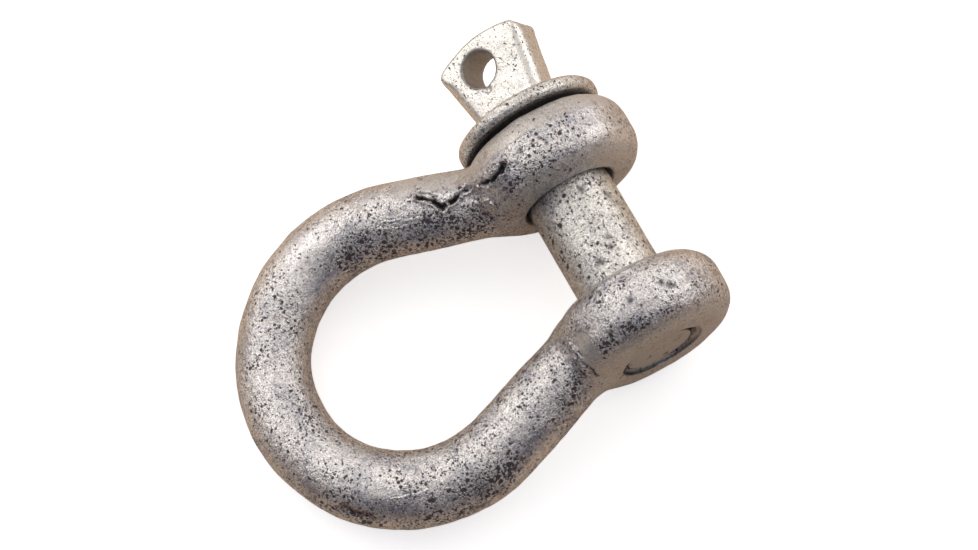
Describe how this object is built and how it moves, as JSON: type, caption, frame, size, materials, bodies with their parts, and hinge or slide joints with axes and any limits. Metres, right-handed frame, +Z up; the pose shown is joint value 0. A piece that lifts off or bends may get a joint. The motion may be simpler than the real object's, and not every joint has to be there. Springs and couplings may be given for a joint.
{
  "type": "bow shackle",
  "caption": "Galvanised screw-pin bow shackle: a forged bow with two eyes and a threaded pin whose flat head has a hole for a bar or a mousing wire.",
  "frame": {"origin": "on the pin axis, midway between the two eyes, with the shackle lying on a level surface 19 mm below", "axes": "+X along the pin to its head; +Y from the pin to the crown of the bow; +Z up from the surface that the shackle lies on"},
  "size_m": [0.0905, 0.1024, 0.038],
  "materials": {
    "bow_zinc": "hot-dip galvanised, weathered, satin with dark pits",
    "pin_zinc": "hot-dip galvanised, satin with small dark pits",
    "thread_zinc": "galvanised thread, greased and a little rusty in the roots"
  },
  "bodies": {
    "bow": {"bow": "bow_zinc"},
    "pin_advance": {"pin_barrel": "pin_zinc"},
    "pin": {"pin_head": "pin_zinc", "pin_thread": "thread_zinc"}
  },
  "joints": [
    {"name": "pin_slide", "type": "slide", "parent": "bow", "child": "pin_advance", "axis": [1, 0, 0], "range_m": [0, 0.0565]},
    {"name": "pin_turn", "type": "hinge", "parent": "pin_advance", "child": "pin", "pos_m": [0, 0, 0], "axis": [1, 0, 0], "range_deg": [0, 8010]}
  ],
  "couplings": [
    {"joint": "pin_turn", "follows": "pin_slide", "rad_per_m": 2473.7}
  ]
}
